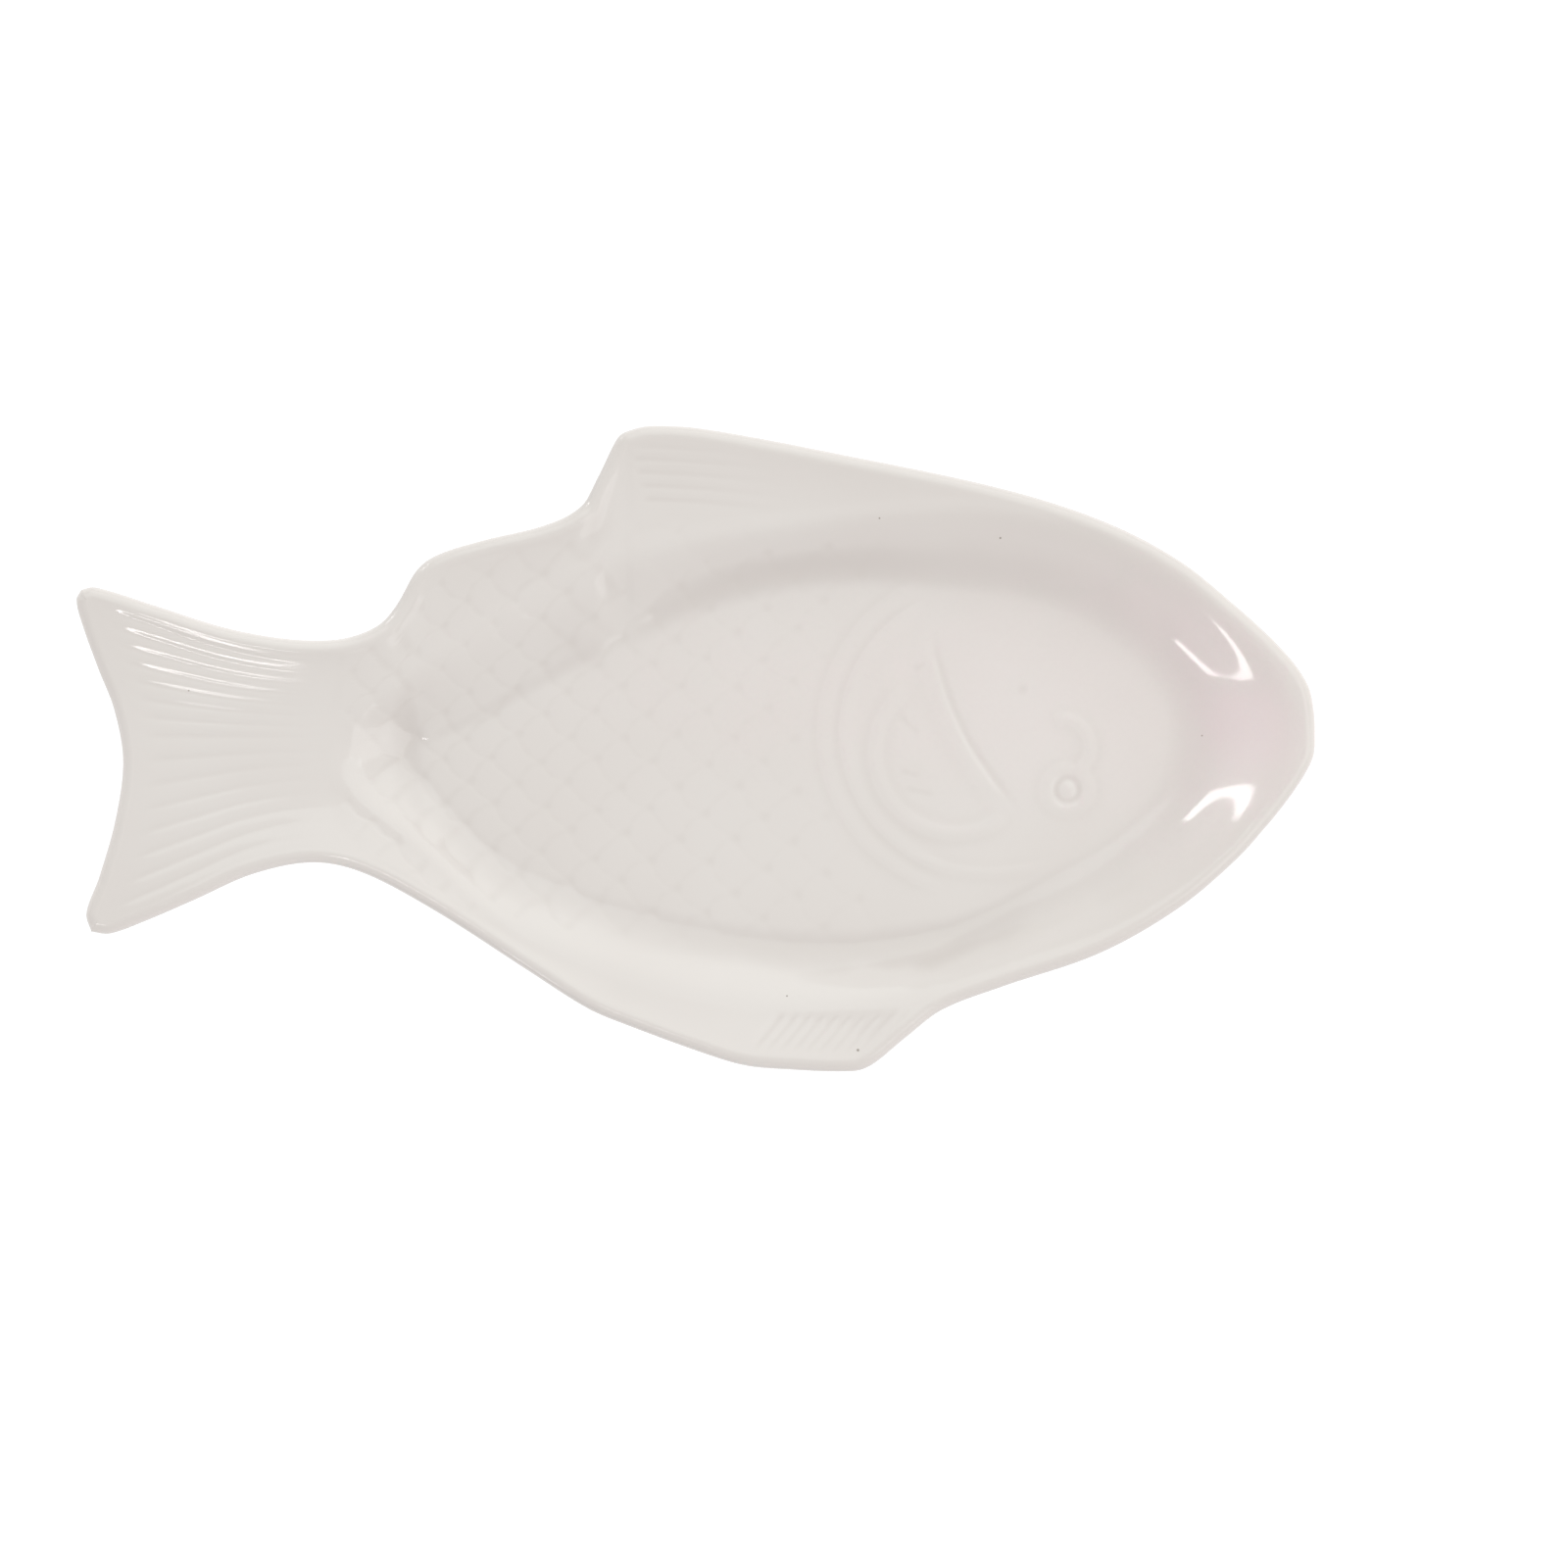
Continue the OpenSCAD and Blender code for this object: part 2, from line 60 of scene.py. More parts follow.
# The photograph's frame: its size in pixels, the platter's box there, and the size of a pixel
PHOTO_SIZE = 1600
PHOTO_LEFT, PHOTO_RIGHT = 81.0, 1338.0
PHOTO_TOP, PHOTO_BOTTOM = 432.0, 1095.0
PIXEL_X = LENGTH / (PHOTO_RIGHT - PHOTO_LEFT)
PIXEL_Y = WIDTH / (PHOTO_BOTTOM - PHOTO_TOP)


def place(pixel_x, pixel_y):
    """The place on the platter, in millimetres, under a pixel of the photograph."""
    x = (pixel_x - (PHOTO_LEFT + PHOTO_RIGHT) / 2) * PIXEL_X
    y = ((PHOTO_TOP + PHOTO_BOTTOM) / 2 - pixel_y) * PIXEL_Y
    return np.array([x, y])


# Outlines of the plan, as shares of the length and the width, the same as the part's
BACK = [
    (0.004, 0.246), (0.015, 0.250), (0.063, 0.222), (0.119, 0.188), (0.166, 0.171),
    (0.202, 0.168), (0.226, 0.176), (0.246, 0.195), (0.259, 0.225), (0.274, 0.275),
    (0.290, 0.299), (0.325, 0.321), (0.381, 0.348), (0.409, 0.378), (0.422, 0.423),
    (0.437, 0.480), (0.446, 0.492), (0.465, 0.500), (0.508, 0.495), (0.620, 0.455),
    (0.747, 0.403), (0.827, 0.354), (0.890, 0.292), (0.938, 0.218), (0.966, 0.169),
]
BELLY = [
    (0.012, -0.284), (0.027, -0.287), (0.055, -0.268), (0.095, -0.235), (0.142, -0.195),
    (0.190, -0.177), (0.230, -0.192), (0.286, -0.248), (0.365, -0.345), (0.413, -0.403),
    (0.445, -0.429), (0.508, -0.473), (0.540, -0.491), (0.572, -0.497), (0.628, -0.500),
    (0.644, -0.489), (0.671, -0.447), (0.699, -0.406), (0.747, -0.370), (0.827, -0.317),
    (0.890, -0.248), (0.938, -0.170), (0.966, -0.110),
]
TAIL_EDGE = [
    (-0.284, 0.012), (-0.255, 0.008), (-0.200, 0.018), (-0.110, 0.031), (-0.020, 0.037),
    (0.060, 0.030), (0.125, 0.017), (0.190, 0.005), (0.230, 0.000), (0.246, 0.004),
]
NOSE = [
    (-0.110, 0.966), (-0.075, 0.980), (-0.040, 0.992), (-0.010, 0.999), (0.025, 1.000),
    (0.060, 0.999), (0.095, 0.995), (0.130, 0.984), (0.169, 0.966),
]
# Loops round the well floor and round the top of its wall: the middle between their two sides, and
# half the distance between these, which is negative past the loop's ends
FLOOR_MIDDLE = [
    (0.265, -0.006), (0.290, -0.024), (0.317, -0.040), (0.349, -0.047), (0.381, -0.045),
    (0.445, -0.037), (0.508, -0.026), (0.572, -0.021), (0.635, -0.019), (0.700, -0.014),
    (0.740, -0.003), (0.779, 0.010), (0.827, 0.017), (0.890, 0.020),
]
FLOOR_HALF = [
    (0.200, -0.100), (0.267, 0.000), (0.286, 0.038), (0.317, 0.083), (0.349, 0.126),
    (0.381, 0.159), (0.445, 0.215), (0.508, 0.258), (0.572, 0.283), (0.635, 0.288),
    (0.700, 0.272), (0.740, 0.252), (0.779, 0.222), (0.827, 0.170), (0.858, 0.120),
    (0.890, 0.000), (0.940, -0.155), (1.000, -0.210),
]
LEDGE_MIDDLE = [
    (0.200, -0.004), (0.286, -0.009), (0.317, -0.020), (0.349, -0.024), (0.413, -0.021),
    (0.508, -0.025), (0.572, -0.024), (0.620, -0.019), (0.667, -0.009), (0.731, 0.010),
    (0.795, 0.018), (0.874, 0.022), (0.984, 0.022), (0.991, 0.020),
]
LEDGE_HALF = [
    (0.160, -0.050), (0.200, 0.000), (0.254, 0.115), (0.286, 0.165), (0.317, 0.215),
    (0.349, 0.256), (0.381, 0.287), (0.445, 0.334), (0.508, 0.360), (0.572, 0.376),
    (0.635, 0.384), (0.700, 0.379), (0.779, 0.350), (0.827, 0.319), (0.874, 0.270),
    (0.922, 0.203), (0.962, 0.133), (0.991, 0.000), (1.000, -0.075),
]
# Heights along the fish as shares of the rim height
RIM = [
    (0, 0.84), (0.10, 0.80), (0.20, 0.78), (0.30, 0.80), (0.45, 0.86),
    (0.60, 0.88), (0.75, 0.90), (0.90, 0.96), (0.985, 1), (1, 1),
]
LEDGE = [
    (0, 0.78), (0.10, 0.68), (0.20, 0.62), (0.30, 0.62), (0.45, 0.66), (0.58, 0.70),
    (0.70, 0.82), (0.80, 0.89), (0.90, 0.95), (0.985, 1), (1, 1),
]
# How sharply the wall meets the floor along the fish: 0 is a smooth bowl and 1 a crease at its foot.
# The part takes one value for both sides. Here each side has its own, and near the tail the upper
# side also has a steeper foot. One side turns into the other below the floor's middle, over
# CREASE_TURN of the width.
CREASE_UPPER = [
    (0.25, 0.9), (0.32, 0.7), (0.40, 0.5), (0.50, 0.3), (0.60, 0.2), (0.75, 0.1), (0.85, 0),
]
CREASE_LOWER = [(0.25, 0.6), (0.36, 0.25), (0.50, 0.3), (0.60, 0.3), (0.75, 0.2), (0.85, 0)]
STEEP_FOOT = [(0.25, 0.5), (0.36, 0.35), (0.55, 0)]
CREASE_TURN = 0.10
# How the flange curls up to the lip: 1 is straight
FLANGE_CURL = 1.3
LATERAL_Y = 0.019 * WIDTH

# The mesh grid: columns from tail to nose, and rows on either side of the lateral line
TAIL_COLUMNS = 116
BODY_COLUMNS = 212
HEAD_COLUMNS = 200
COLUMNS = TAIL_COLUMNS + BODY_COLUMNS + HEAD_COLUMNS
ROWS_HALF = 132
BODY_START_X, BODY_END_X = place(358, 0)[0], place(845, 0)[0]
# Softening passes over the grid or along a ring
NORMAL_PASSES = 30
SURFACE_PASSES = 14
UNDERSIDE_PASSES = 60
JOIN_PASSES = 30
HOLLOW_PASSES = 10
CREASE_PASSES = 90
RELIEF_PASSES = 2
# Rows and columns over which the relief fades out before the lip
BORDER_ROWS = 7
# Rings of the lip, as angles from its outermost line: 90 is the upper surface
LIP_ANGLES = (72, 54, 36, 18, 0, -18, -36, -54, -72, -90)
# How much the lip leans with the surface beside it: its slope over a distance, up to a steepest
LIP_RUN = 2.0
LIP_STEEPEST = 0.5
# Painted shade over the lip's outermost line: how dark on each ring, on the side that faces this
# way, away from the key light, and how fast that side begins
LIP_SHADE = (0, 0, 0.1, 0.8, 1, 0.6, 0.2, 0, 0, 0)
SHADED_SIDE = (-0.75, -0.66)
SHADE_TURN = 0.8
# At the foot of the wall below the dorsal fin, the surface is softened round a pixel: fully near
# it, and not at all farther off
SHOULDER_PIXEL = (600, 620)
SHOULDER_REACH = (3.0, 17.0)
SHOULDER_PASSES = 220
# Half section of the foot ring: shares of its half width and of its height, from the floor's
# underside down to the table; it flares into the clay above
FOOT_PROFILE = (
    (0, 2.2), (1.7, 2.2), (1.7, 1.02), (1.35, 0.92), (1.12, 0.72), (1.02, 0.45), (0.98, 0.25),
    (0.88, 0.08), (0.72, 0), (0, 0),
)
FOOT_SAMPLES = 600
FOOT_POINTS = 420
FOOT_PASSES = 160

# Scales

# The field's half width along the fish, where its rows are counted from, and its ends
FIELD_HALF = [
    (0.18, 0.06), (0.22, 0.165), (0.26, 0.235), (0.31, 0.285), (0.38, 0.32), (0.45, 0.335),
    (0.60, 0.35),
]
FIELD_X = -0.1015 * LENGTH
FIELD_REAR_X = place(343, 0)[0]
FIELD_FRONT_X = place(908, 0)[0]
FIELD_FADE = 6.0
SCALE_LENGTH = 11.9
SCALE_HEIGHT = 10.7
# Towards the head the scales grow longer, by twice PITCH_GROWTH with each quarter of a scale, and
# wider, by ROW_GROWTH over SCALES_ALONG lengths
SCALES_ALONG = 9
PITCH_GROWTH = 0.0045
ROW_GROWTH = 0.26
# Rise of a scale at the field's tail end and at its head end, and how it falls off to its edge
SCALE_RISE_TAIL = 0.14
SCALE_RISE_HEAD = 0.045
SCALE_ROUNDNESS = 1.85
SCALE_FALL = 2.6
SCALE_TILT = 0.45
# The rows of scales waver a little, as they do when they are carved by hand
WAVER = 0.55
WAVER_LENGTH = 19.0
WAVER_SLANTS = (0.3, -0.4)
# Pits where four scales meet
PIT_DEPTH = 0.07
PIT_RADIUS = 1.1

# Head

# A span holds an arc's two angles in degrees, and over how many degrees each of its ends fades.
# Other depths and rises than the gill cover's are shares of CHEEK_HEIGHT.
GILL_MIDDLE = place(1004, 746)
GILL_RADIUS = 34.0
GILL_CLEARANCE = 3.5
GILL_HEIGHT = 0.16
GILL_SPAN = (112, 258, 16)
# The gill cover's two ridges: how far each lies outside GILL_RADIUS and its share of GILL_HEIGHT
GILL_RIDGES = ((2.7, 0.7), (-2.2, 1.0))
GILL_STEEP, GILL_GENTLE = 0.9, 3.0
CHEEK_MIDDLE = place(975, 768)
CHEEK_RADIUS = 18.2
CHEEK_HEIGHT = 0.23
CHEEK_SPAN = (122, 312, 18)
CHEEK_STEEP, CHEEK_GENTLE = 1.6, 1.9
CHEEK_LINES = (
    (place(914, 725), place(942, 752)),
    (place(914, 786), place(944, 792)),
    (place(920, 803), place(958, 812)),
    (place(930, 684), place(950, 672)),
)
LINE_DEPTH, LINE_WIDTH = 0.3, 1.8
# The side fin's edge is a groove with a ridge beside it
FIN_MIDDLE = place(1264, 601)
FIN_RADIUS = 69.4
FIN_SPAN = (186, 226, 9)
FIN_GROOVE, FIN_GROOVE_WIDTH = 0.35, 2.4
FIN_RIDGE, FIN_RIDGE_OUT = 0.8, 1.9
FIN_STEEP, FIN_GENTLE = 1.3, 2.6
# The eye's rings from its middle: radius, rise and width
EYE = place(1090, 806)
EYE_RINGS = ((4.8, 0.7, 3.0), (2.6, -0.45, 1.8), (0.0, 0.8, 3.0))
NOSTRIL = place(1044, 702)
NOSTRIL_DEPTH, NOSTRIL_WIDTH = 0.45, 2.8
# Curved ridges at the mouth and the jaw: middle, radius, span, rise and width
HEAD_RIDGES = (
    (place(1084, 762), 6.4, (-60, 110, 22), 0.8, 2.8),
    (place(1010, 700), 42.0, (238, 292, 14), 0.5, 2.6),
)
STROKE_FADE = 3.0

# Fins

# The tail's grooves fade at its trailing edge, at its root and at its sides, given as shares: where
# the fade lies and how long it is
TAIL_RAYS = 8
RAY_DEPTH = 0.13
RAY_WIDTH = 0.5
RAY_REAR, RAY_REAR_FADE = 0.07, 0.16
RAY_FRONT, RAY_FRONT_FADE = 0.97, 0.6
RAY_SIDE_FADE = 0.1
FIN_DEPTH = 0.11
# Dorsal grooves: their width, fade, start of the uppermost, distance, length, slope and bend
DORSAL_GROOVES = 5
DORSAL_WIDTH = 1.7
DORSAL_FADE = 3.0
DORSAL_START = place(636, 452)
DORSAL_APART = place(0, 452) - place(4, 465.7)
DORSAL_LENGTH = 37.0
DORSAL_SLOPE = -0.02
DORSAL_BEND = -0.0016
# Grooves of the lower fin: their width, and where the first and the last one start and end
LOWER_GROOVES = 10
LOWER_WIDTH = 1.5
LOWER_LINES = ((place(764, 1080), place(803, 1034)), (place(882, 1084), place(930, 1030)))


def curve(points, at):
    """A smooth curve through points, read at an array of places, level beyond its ends."""
    knots = np.array(points, float)
    slopes = np.empty(len(knots))
    slopes[1:-1] = (knots[2:, 1] - knots[:-2, 1]) / (knots[2:, 0] - knots[:-2, 0])
    slopes[0] = (knots[1, 1] - knots[0, 1]) / (knots[1, 0] - knots[0, 0])
    slopes[-1] = (knots[-1, 1] - knots[-2, 1]) / (knots[-1, 0] - knots[-2, 0])
    at = np.clip(at, knots[0, 0], knots[-1, 0])
    i = np.clip(np.searchsorted(knots[:, 0], at, side="right") - 1, 0, len(knots) - 2)
    h = knots[i + 1, 0] - knots[i, 0]
    t = (at - knots[i, 0]) / h
    return (
        (2 * t**3 - 3 * t**2 + 1) * knots[i, 1]
        + (t**3 - 2 * t**2 + t) * h * slopes[i]
        + (3 * t**2 - 2 * t**3) * knots[i + 1, 1]
        + (t**3 - t**2) * h * slopes[i + 1]
    )


def ease(t):
    """A soft step from 0 to 1."""
    t = np.clip(t, 0, 1)
    return t * t * (3 - 2 * t)


def share_x(x):
    return x / LENGTH + 0.5


def y_of(points, x):
    return WIDTH * curve(points, share_x(x))


def x_of(points, y):
    return (curve(points, y / WIDTH) - 0.5) * LENGTH


def outside(y, middle, half_square):
    """How far a place lies outside a loop: negative inside, zero on it and smooth past its ends."""
    return (y - middle) ** 2 - half_square


def squares(points):
    """A table of half distances, squared with their signs."""
    return [(at, half * abs(half)) for at, half in points]


def smooth_height(x, y):
    """Height of the upper surface without relief: the part's, but for the curve of its wall."""
    s, t = share_x(x), y / WIDTH
    back, belly = curve(BACK, s), curve(BELLY, s)
    off_floor = outside(t, curve(FLOOR_MIDDLE, s), curve(squares(FLOOR_HALF), s))
    off_ledge = outside(t, curve(LEDGE_MIDDLE, s), curve(squares(LEDGE_HALF), s))
    off_edge = outside(t, (back + belly) / 2, ((back - belly) / 2) ** 2)
    on_wall = np.clip(off_floor / (off_floor - off_ledge), 0, 1)
    on_flange = np.clip(off_ledge / (off_ledge - off_edge), 0, 1)
    ledge_z = RIM_HEIGHT * curve(LEDGE, s)
    lip_z = RIM_HEIGHT * curve(RIM, s)
    to_upper = ease((t - curve(FLOOR_MIDDLE, s)) / CREASE_TURN + 1)
    crease = curve(CREASE_LOWER, s) + (curve(CREASE_UPPER, s) - curve(CREASE_LOWER, s)) * to_upper
    steep = curve(STEEP_FOOT, s) * to_upper
    return (
        FLOOR_HEIGHT + (ledge_z - FLOOR_HEIGHT) * wall_shape(on_wall, crease, steep)
        + (lip_z - ledge_z) * on_flange**FLANGE_CURL
    )


def wall_shape(u, crease, steep):
    """Rise of the well wall, from 0 at its foot to 1 at the ledge."""
    quarter_wave = np.sin(u * math.pi / 2)
    return ease(u) + crease * (quarter_wave - ease(u)) + steep * (1 - (1 - u) ** 3 - quarter_wave)


# Outline and grid

# The grid's columns run from tail to nose and its rows from belly to back

def grid_edges():
    """The outline's four sides: belly and back from tail to nose, nose and tail edge upwards."""
    body = np.linspace(BODY_START_X, BODY_END_X, BODY_COLUMNS + 1)
    t = np.linspace(-1, 1, 2 * ROWS_HALF + 1)

    def side(points, nose_share):
        tail_x = (points[0][0] - 0.5) * LENGTH
        nose_x = (nose_share - 0.5) * LENGTH
        tail = np.linspace(tail_x, BODY_START_X, TAIL_COLUMNS + 1)[:-1]
        head = np.linspace(BODY_END_X, nose_x, HEAD_COLUMNS + 1)[1:]
        x = np.concatenate([tail, body, head])
        return np.stack([x, y_of(points, x)], 1)

    def end(points):
        low, high = points[0][0] * WIDTH, points[-1][0] * WIDTH
        y = np.where(t > 0, LATERAL_Y + (high - LATERAL_Y) * t, LATERAL_Y + (LATERAL_Y - low) * t)
        return np.stack([x_of(points, y), y], 1)

    return side(BELLY, NOSE[0][1]), end(NOSE), side(BACK, NOSE[-1][1]), end(TAIL_EDGE)


def closed_loop(belly, nose, back, tail):
    """One ring, anticlockwise from above, from the four sides of a grid."""
    return np.concatenate([belly, nose[1:-1], back[::-1], tail[-2:0:-1]])


def grid_border(grid):
    return closed_loop(grid[:, 0], grid[-1], grid[:, -1], grid[0])


def opened_loop(loop):
    """The four sides of a grid from its ring."""
    n, m = COLUMNS, 2 * ROWS_HALF
    ring = np.concatenate([loop, loop[:1]])
    back, tail = ring[n + m : 2 * n + m + 1], ring[2 * n + m :]
    return ring[: n + 1], ring[n : n + m + 1], back[::-1], tail[::-1]


def softened(ring, passes):
    """A ring whose points are drawn towards their neighbours."""
    for _ in range(passes):
        ring = (np.roll(ring, 1, 0) + 2 * ring + np.roll(ring, -1, 0)) / 4
    return ring


def inward(loop):
    """Unit directions into the outline, softened so that an inset stays smooth at the fin tips."""
    along = softened(np.roll(loop, -1, 0) - np.roll(loop, 1, 0), NORMAL_PASSES)
    along /= np.linalg.norm(along, axis=1, keepdims=True)
    return np.stack([-along[:, 1], along[:, 0]], 1)


def grid_plan(ring):
    """Plan of the grid: spokes from the lateral line to the ring, bent to it at tail and nose."""
    belly, nose, back, tail = opened_loop(ring)
    t = np.linspace(-1, 1, 2 * ROWS_HALF + 1)
    column = np.arange(COLUMNS + 1)
    to_tail = np.clip(1 - column / TAIL_COLUMNS, 0, 1)
    to_nose = np.clip((column - TAIL_COLUMNS - BODY_COLUMNS) / HEAD_COLUMNS, 0, 1)
    middle = np.stack([(back[:, 0] + belly[:, 0]) / 2, np.full(COLUMNS + 1, LATERAL_Y)], 1)
    middle[:, 0] += to_tail**2 * (tail[ROWS_HALF, 0] - middle[0, 0])
    middle[:, 0] += to_nose**2 * (nose[ROWS_HALF, 0] - middle[-1, 0])
    up = np.clip(t, 0, 1)[None, :, None]
    down = np.clip(-t, 0, 1)[None, :, None]
    spokes = middle[:, None] + (back - middle)[:, None] * up + (belly - middle)[:, None] * down
    tail_bend = (tail - spokes[0])[None] * (to_tail**2)[:, None, None]
    nose_bend = (nose - spokes[-1])[None] * (to_nose**2)[:, None, None]
    return spokes + tail_bend + nose_bend


def blurred(z, passes):
    """Heights softened over the grid, with its border kept."""
    for _ in range(passes):
        z = z.copy()
        z[1:-1, 1:-1] = (
            4 * z[1:-1, 1:-1] + 2 * (z[:-2, 1:-1] + z[2:, 1:-1] + z[1:-1, :-2] + z[1:-1, 2:])
            + z[:-2, :-2] + z[:-2, 2:] + z[2:, :-2] + z[2:, 2:]
        ) / 16
    return z


def slopes(x, y, z):
    """Slopes of the heights along X and Y, on the bent grid."""
    xi, xj = np.gradient(x)
    yi, yj = np.gradient(y)
    zi, zj = np.gradient(z)
    det = xi * yj - xj * yi
    return (zi * yj - zj * yi) / det, (zj * xi - zi * xj) / det


# Relief

def groove(distance, width):
    """A smooth line of depth 1, from the distance to its middle and its width."""
    return np.exp(-((distance / (width / 2)) ** 2))


def step(distance, steep, gentle):
    """A ridge of height 1 whose far side is steep and whose near side is gentle."""
    return np.exp(-np.where(distance > 0, distance / steep, distance / gentle) ** 2)


def arc(x, y, middle, start, stop, fade):
    """Distance from a circle's middle, and a mask between two angles that fades at its ends."""
    dx, dy = x - middle[0], y - middle[1]
    angle = (np.degrees(np.arctan2(dy, dx)) - start) % 360
    mask = ease(angle / fade) * ease((stop - start - angle) / fade)
    return np.hypot(dx, dy), mask


def scale_relief(x, y):
    """Scales that overlap like tiles: each one's edge towards the tail lies on the next ones."""
    quarter = SCALE_LENGTH / 4
    turn = 2 * math.pi / WAVER_LENGTH
    across_slant, along_slant = WAVER_SLANTS
    x, y = (
        x + WAVER * np.sin(turn * (y + across_slant * x)),
        y + WAVER * np.sin(turn * (x + along_slant * y)),
    )
    grown = np.sqrt(np.maximum(1 + 4 * PITCH_GROWTH * (x - FIELD_X) / quarter, 0))
    i = (grown - 1) / (2 * PITCH_GROWTH)
    fan = 1 + ROW_GROWTH * (x - FIELD_X) / (SCALE_LENGTH * SCALES_ALONG)
    j = (y - LATERAL_Y) / (SCALE_HEIGHT / 4 * fan)
    u, v = 2 * ((i + j) / 4 % 1) - 1, 2 * ((i - j) / 4 % 1) - 1
    p, q = (u + v) / 2, (u - v) / 2

    def reach(p, q):
        power = SCALE_ROUNDNESS
        return (np.abs(p) ** power + np.abs(q) ** power) ** (1 / power)

    to_corner = np.minimum(
        np.hypot((1 - np.abs(p)) * SCALE_LENGTH / 2, q * SCALE_HEIGHT * fan / 2),
        np.hypot(p * SCALE_LENGTH / 2, (1 - np.abs(q)) * SCALE_HEIGHT * fan / 2),
    )
    near = reach(p, q)
    for side in (1, -1):
        over = reach(p - 1, q - side)
        covered = over < 1
        near = np.where(covered, over, near)
        p, q = np.where(covered, p - 1, p), np.where(covered, q - side, q)
    to_head = ease((x - FIELD_REAR_X) / (FIELD_FRONT_X - FIELD_REAR_X))
    rise = SCALE_RISE_TAIL + (SCALE_RISE_HEAD - SCALE_RISE_TAIL) * to_head
    shape = rise * (1 - np.clip(near, 0, 1) ** SCALE_FALL) * (1 - SCALE_TILT * p)
    shape -= PIT_DEPTH * groove(to_corner, 2 * PIT_RADIUS)
    half = WIDTH * curve(FIELD_HALF, share_x(x))
    across = ease((half - np.abs(y - LATERAL_Y)) / FIELD_FADE)
    behind = ease((x - FIELD_REAR_X) / FIELD_FADE)
    gill = np.hypot(x - GILL_MIDDLE[0], y - GILL_MIDDLE[1])
    before = ease((gill - GILL_RADIUS - GILL_CLEARANCE) / FIELD_FADE)
    before *= ease((FIELD_FRONT_X - x) / FIELD_FADE)
    return across * behind * before * shape


def head_relief(x, y):
    """Gill cover, cheek, side fin, eye, nostril, mouth and jaw."""
    z = np.zeros_like(x)
    reach, mask = arc(x, y, GILL_MIDDLE, *GILL_SPAN)
    for out, share in GILL_RIDGES:
        z += GILL_HEIGHT * share * step(reach - (GILL_RADIUS + out), GILL_STEEP, GILL_GENTLE) * mask
    reach, mask = arc(x, y, CHEEK_MIDDLE, *CHEEK_SPAN)
    z += CHEEK_HEIGHT * step(reach - CHEEK_RADIUS, CHEEK_STEEP, CHEEK_GENTLE) * mask
    reach, mask = arc(x, y, FIN_MIDDLE, *FIN_SPAN)
    z -= CHEEK_HEIGHT * FIN_GROOVE * groove(reach - FIN_RADIUS, FIN_GROOVE_WIDTH) * mask
    ridge = step(FIN_RADIUS + FIN_RIDGE_OUT - reach, FIN_STEEP, FIN_GENTLE)
    z += CHEEK_HEIGHT * FIN_RIDGE * ridge * mask
    for start, stop in CHEEK_LINES:
        z -= CHEEK_HEIGHT * LINE_DEPTH * stroke(x, y, start, stop, LINE_WIDTH)
    eye = np.hypot(x - EYE[0], y - EYE[1])
    for radius, rise, width in EYE_RINGS:
        z += CHEEK_HEIGHT * rise * groove(eye - radius, width)
    nostril = np.hypot(x - NOSTRIL[0], y - NOSTRIL[1])
    z -= CHEEK_HEIGHT * NOSTRIL_DEPTH * groove(nostril, NOSTRIL_WIDTH)
    for middle, radius, span, rise, width in HEAD_RIDGES:
        reach, mask = arc(x, y, middle, *span)
        z += CHEEK_HEIGHT * rise * groove(reach - radius, width) * mask
    return z


def stroke(x, y, start, stop, width):
    """A smooth line of depth 1 between two places, fading at its ends."""
    run = stop - start
    length = np.hypot(*run)
    along = ((x - start[0]) * run[0] + (y - start[1]) * run[1]) / length
    aside = ((y - start[1]) * run[0] - (x - start[0]) * run[1]) / length
    fade = min(STROKE_FADE, length / 3)
    return groove(aside, width) * ease(along / fade) * ease((length - along) / fade)


def fan_of_strokes(x, y, first, last, count, width):
    """Strokes side by side, at even steps from the first one to the last one."""
    z = np.zeros_like(x)
    for share in np.linspace(0, 1, count):
        start = first[0] + (last[0] - first[0]) * share
        stop = first[1] + (last[1] - first[1]) * share
        z += stroke(x, y, start, stop, width)
    return z


def dorsal_relief(x, y):
    """Grooves of the dorsal fin, which bend with its edge and fade out towards the head."""
    z = np.zeros_like(x)
    for n in range(DORSAL_GROOVES):
        start = DORSAL_START - n * DORSAL_APART
        run = x - start[0]
        line = start[1] + run * (DORSAL_SLOPE + DORSAL_BEND * run)
        faded = ease(run / DORSAL_FADE) * ease(1 - run / DORSAL_LENGTH)
        z -= groove(y - line, DORSAL_WIDTH) * faded
    return FIN_DEPTH * z


def tail_relief(s, t):
    """Grooves between the tail's rays: s runs from its trailing edge to its root, t across it."""
    phase = (t + 1) * TAIL_RAYS
    near = np.abs(phase - np.round(phase))
    along = ease((s - RAY_REAR) / RAY_REAR_FADE) * ease((RAY_FRONT - s) / RAY_FRONT_FADE)
    across = ease((1 - np.abs(t)) / RAY_SIDE_FADE)
    return -RAY_DEPTH * groove(near, RAY_WIDTH) * along * across


# The body

def lip_tilt(outline, into):
    """How far the lip leans inwards, so that it is square to the surface that runs into it."""
    near, far = outline + into * LIP_RADIUS, outline + into * (LIP_RADIUS + LIP_RUN)
    rise = (smooth_height(*near.T) - smooth_height(*far.T)) / LIP_RUN
    return np.arctan(np.clip(softened(rise[:, None], NORMAL_PASSES)[:, 0], 0, LIP_STEEPEST))


def upper_height(x, y, raw):
    """Height of the upper surface without relief, softened, and more so round the shoulder."""
    z = blurred(raw, SURFACE_PASSES)
    shoulder_x, shoulder_y = place(*SHOULDER_PIXEL)
    full, none = SHOULDER_REACH
    soft = ease((none - np.hypot(x - shoulder_x, y - shoulder_y)) / (none - full))
    return z + soft * (blurred(raw, SHOULDER_PASSES) - z)


